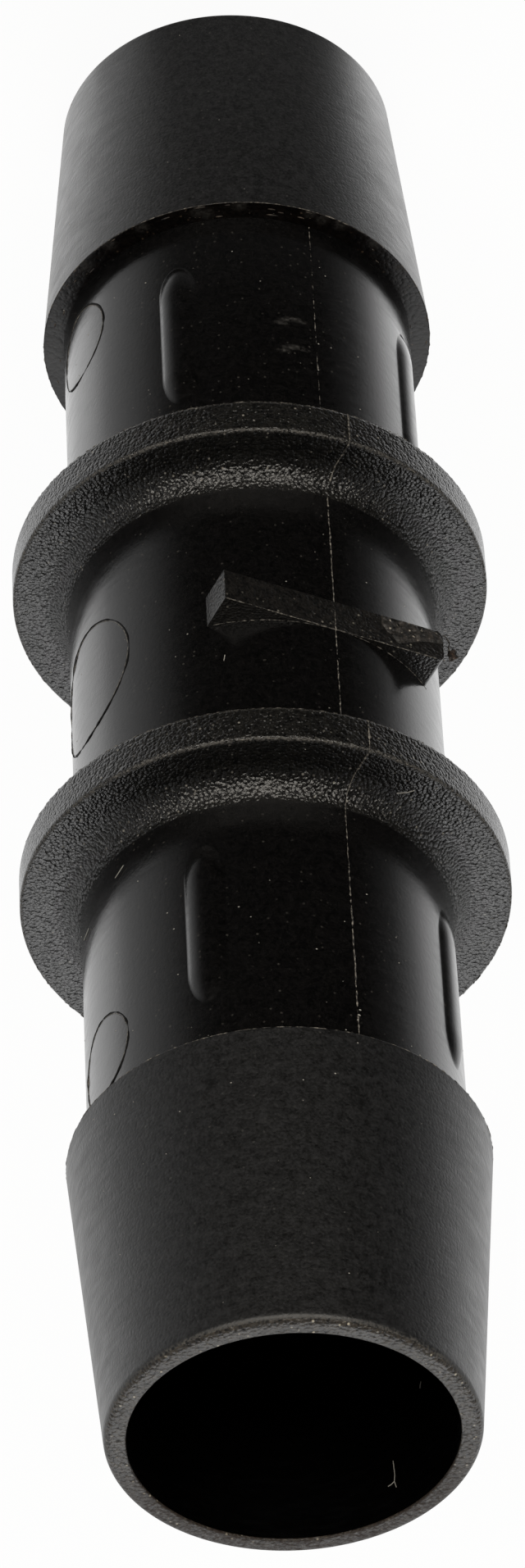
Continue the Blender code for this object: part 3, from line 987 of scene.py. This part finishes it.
chance = add(tree, "FunctionNodeRandomValue", {"Seed": size["Seed"]}, data_type="FLOAT")
steep = add(tree, MATH, {0: chance, 1: 3.0}, "POWER")
girth = add(tree, REMAP, {0: steep, 1: 0.0, 2: 1.0, 3: size["Smallest"], 4: size["Largest"]})
proportions = add(tree, JOIN, {0: size["Stretch"], 1: 1.0, 2: 0.5})
scales = add(tree, VECTOR, {0: proportions, "Scale": girth}, "SCALE")
backward = add(tree, MATH, {0: along, 1: -1.0}, "MULTIPLY")
ring_way = add(tree, JOIN, {0: backward, 1: across})
lie = {"Rotation": spots["Rotation"], "Factor": size["Along_Ring"], "Vector": ring_way}
facing = add(tree, "FunctionNodeAlignRotationToVector", lie, axis="X", pivot_axis="Z")
lying = add(tree, "GeometryNodeInstanceOnPoints", {0: spots[0], 2: ball, 5: facing, 6: scales})
end_tree(tree, lying, size["Finish"])

# %% Scatter them
crumb_skin = clouded_material("torn_brown_nylon_crumbs", 0.6 * MM, 0.38, 0.66, "#15100c", "#463b30", 0.7)
grow(
    "dust", tree, Surface=body, Seed=11, Finish=lint, Along_Ring=0.0, Stretch=1.6,
    From_Middle_Low=0.0, From_Middle_High=HALF_LENGTH - 0.5 * MM,
    Inner_Radius=9.0 * MM, Outer_Radius=COLLAR_RADIUS - 0.02 * MM,
    Per_Square_Metre=150000.0, Smallest=0.006 * MM, Largest=0.042 * MM,
)
grow(
    "crumbs", tree, Surface=body, Seed=5, Finish=crumb_skin, Along_Ring=1.0, Stretch=4.5,
    From_Middle_Low=BARB_SHOULDER - 0.05 * MM, From_Middle_High=BARB_SHOULDER + 0.05 * MM,
    Inner_Radius=NECK_RADIUS + 0.45 * MM, Outer_Radius=BARB_RADIUS - 0.01 * MM,
    Per_Square_Metre=2.2e6, Smallest=0.012 * MM, Largest=0.08 * MM,
)

# %% [markdown]
# ## The floor and the background
# The background of such a catalogue picture is pure white paper. The paper keeps the
# connector's shadow, but to the camera and to reflections it is mostly white by itself, so
# that no extra light has to be poured on the object. The world does the same above it.


# %% Floor and world
def seen_directly(tree):
    """1 for rays from the camera, from a reflection or through glass, otherwise 0."""
    ray = add(tree, "ShaderNodeLightPath").outputs
    first = add(tree, MATH, {0: ray["Is Camera Ray"], 1: ray["Is Glossy Ray"]}, "MAXIMUM")
    return add(tree, MATH, {0: first, 1: ray["Is Transmission Ray"]}, "MAXIMUM")


world = bpy.data.worlds.new("white_studio")
world.use_nodes = True
world.cycles.sampling_method = "NONE"
scene.world = world
tree = world.node_tree
strength = add(tree, MIX, {"Factor": seen_directly(tree), 2: 0.3, 3: 1.0})
fill(tree, tree.nodes["Background"], {"Color": (1.0, 1.0, 1.0, 1.0), "Strength": strength})

paper, tree, shader = new_material("white_paper_sweep")
fill(tree, shader, {"Base Color": linear("#f4f4f2"), "Roughness": 0.9})
lit = add(tree, "ShaderNodeEmission", {"Strength": 1.0})
share = add(tree, MATH, {0: seen_directly(tree), 1: 0.94}, "MULTIPLY")
blended = add(tree, "ShaderNodeMixShader", {0: share, 1: shader, 2: lit})
fill(tree, tree.nodes["Material Output"], {0: blended})
paper.cycles.emission_sampling = "NONE"
floor_mesh = bpy.data.meshes.new("floor")
floor_mesh.from_pydata([(-3, -3, 0), (3, -3, 0), (3, 3, 0), (-3, 3, 0)], [], [(0, 1, 2, 3)])
floor_mesh.materials.append(paper)
floor = bpy.data.objects.new("floor", floor_mesh)
scene.collection.objects.link(floor)

# %% [markdown]
# ## The light tent
# Black plastic shows little of its own colour. What the eye sees on it is its surroundings,
# mirrored faintly in the middle and strongly at the edges. In an all-white room it would
# look grey, so such objects are photographed in a light tent: white cloth behind and beside
# them, brightest where lamps shine through it, and dark towards the camera. The tent here
# is a dome with a floor. Reflections alone see it, so it lights nothing and hides nothing.
#
# Its brightness is a table of turns round the object, from the camera's side at 0 degrees to
# picture right. Close to the object's foot the table is spread, because a reflection there
# meets the floor before it has come round as far as it would further up.

# %% Build the tent
TOWARDS_CAMERA = Vector((0.4450, -0.8955, 0.0))
PICTURE_RIGHT = Vector((-0.8955, -0.4450, 0.0))
BRIGHTEST = 2.0
AROUND = {
    -180: 0.9, -150: 1.15, -125: 1.35, -113: 1.25, -100: 0.76, -84: 0.57, -70: 0.4, -58: 0.21, -47: 0.06,
    -36: 0.01, 0: 0.0, 59: 0.0, 71: 0.04, 85: 0.13, 100: 0.52, 117: 1.3, 130: 1.5, 150: 1.45, 180: 0.9,
}

tent_skin, tree, shader = new_material("tent_cloth")
tree.nodes.remove(shader)
place = add(tree, PLACE).outputs["Object"]
forward = add(tree, VECTOR, {0: place, 1: TOWARDS_CAMERA}, "DOT_PRODUCT")
rightward = add(tree, VECTOR, {0: place, 1: PICTURE_RIGHT}, "DOT_PRODUCT")
turn = add(tree, MATH, {0: rightward, 1: forward}, "ARCTAN2")
from_axis = axis_distance(tree, place)
nearness = add(tree, MATH, {0: 0.5 * NECK_RADIUS, 1: from_axis}, "DIVIDE")
narrowing = add(tree, MATH, {0: 1.0, 1: nearness}, "SUBTRACT")
spread_turn = add(tree, MATH, {0: turn, 1: narrowing}, "DIVIDE")
along_table = add(tree, REMAP, {0: spread_turn, 1: -math.pi, 2: math.pi})
ramp = add(tree, "ShaderNodeValToRGB", {0: along_table})
stops = ramp.color_ramp.elements
while len(stops) < len(AROUND):
    stops.new(0.5)
for stop, (degrees, level) in zip(stops, AROUND.items()):
    stop.position = (degrees + 180) / 360
    stop.color = (*[level / BRIGHTEST] * 3, 1.0)

radial = add(tree, VECTOR, {0: place}, "NORMALIZE")
upward = add(tree, SPLIT, {0: radial}).outputs[2]
darker_above = add(tree, REMAP, {0: upward, 1: 0.1, 2: 0.6, 3: BRIGHTEST, 4: 0.3 * BRIGHTEST})
brighter_below = add(tree, REMAP, {0: from_axis, 1: 18 * MM, 2: 34 * MM, 3: 1.35, 4: 1.0})
graded = add(tree, MATH, {0: darker_above, 1: brighter_below}, "MULTIPLY")
near_foot = add(tree, REMAP, {0: from_axis, 1: 12 * MM, 2: 32 * MM, 3: 0.13, 4: 0.0})
level = add(tree, MATH, {0: ramp, 1: graded, 2: near_foot}, "MULTIPLY_ADD")
glow = add(tree, "ShaderNodeEmission", {"Strength": level})
fill(tree, tree.nodes["Material Output"], {0: glow})
tent_skin.cycles.emission_sampling = "NONE"

shape = bmesh.new()
bmesh.ops.create_uvsphere(shape, u_segments=64, v_segments=32, radius=1.5)
below = [corner for corner in shape.verts if corner.co.z < -0.001]
bmesh.ops.delete(shape, geom=below, context="VERTS")
bmesh.ops.holes_fill(shape, edges=shape.edges)
bmesh.ops.translate(shape, verts=shape.verts, vec=(0.0, 0.0, 0.05 * MM))
tent_mesh = bpy.data.meshes.new("light_tent")
shape.to_mesh(tent_mesh)
shape.free()
tent_mesh.materials.append(tent_skin)
tent = bpy.data.objects.new("light_tent", tent_mesh)
tent.visible_camera = False
tent.visible_diffuse = False
tent.visible_transmission = False
tent.visible_volume_scatter = False
tent.visible_shadow = False
scene.collection.objects.link(tent)
print("light tent has", len(tent_mesh.polygons), "faces")

# %% [markdown]
# ## The lamps
# Two soft boxes stand inside the tent. The wide one above the camera draws the highlight on
# the collars' fillets, and the one above and behind is what the collars' faces mirror.


# %% Lamps
def soft_box(name, direction, distance, width, height, radiance, tint="#ffffff"):
    """A flat lamp that faces the connector's middle, of this brightness."""
    light = bpy.data.lights.new(name, "AREA")
    light.shape = "RECTANGLE"
    light.size = width
    light.size_y = height
    light.energy = radiance * math.pi * width * height
    light.color = linear(tint)[:3]
    lamp = bpy.data.objects.new(name, light)
    aim = Vector(direction).normalized()
    lamp.location = Vector((0, 0, HALF_LENGTH)) + distance * aim
    lamp.rotation_euler = aim.to_track_quat("Z", "Y").to_euler()
    lamp.visible_camera = False
    scene.collection.objects.link(lamp)
    print(name, "stands", round(distance, 2), "m away")


above_camera = TOWARDS_CAMERA + Vector((0, 0, math.tan(math.radians(21))))
soft_box("key_box", above_camera, 0.9, 1.3, 0.4, 5.4, "#fff9ef")
soft_box("back_box", (-0.327, 0.657, 0.679), 0.7, 0.55, 0.5, 2.6)
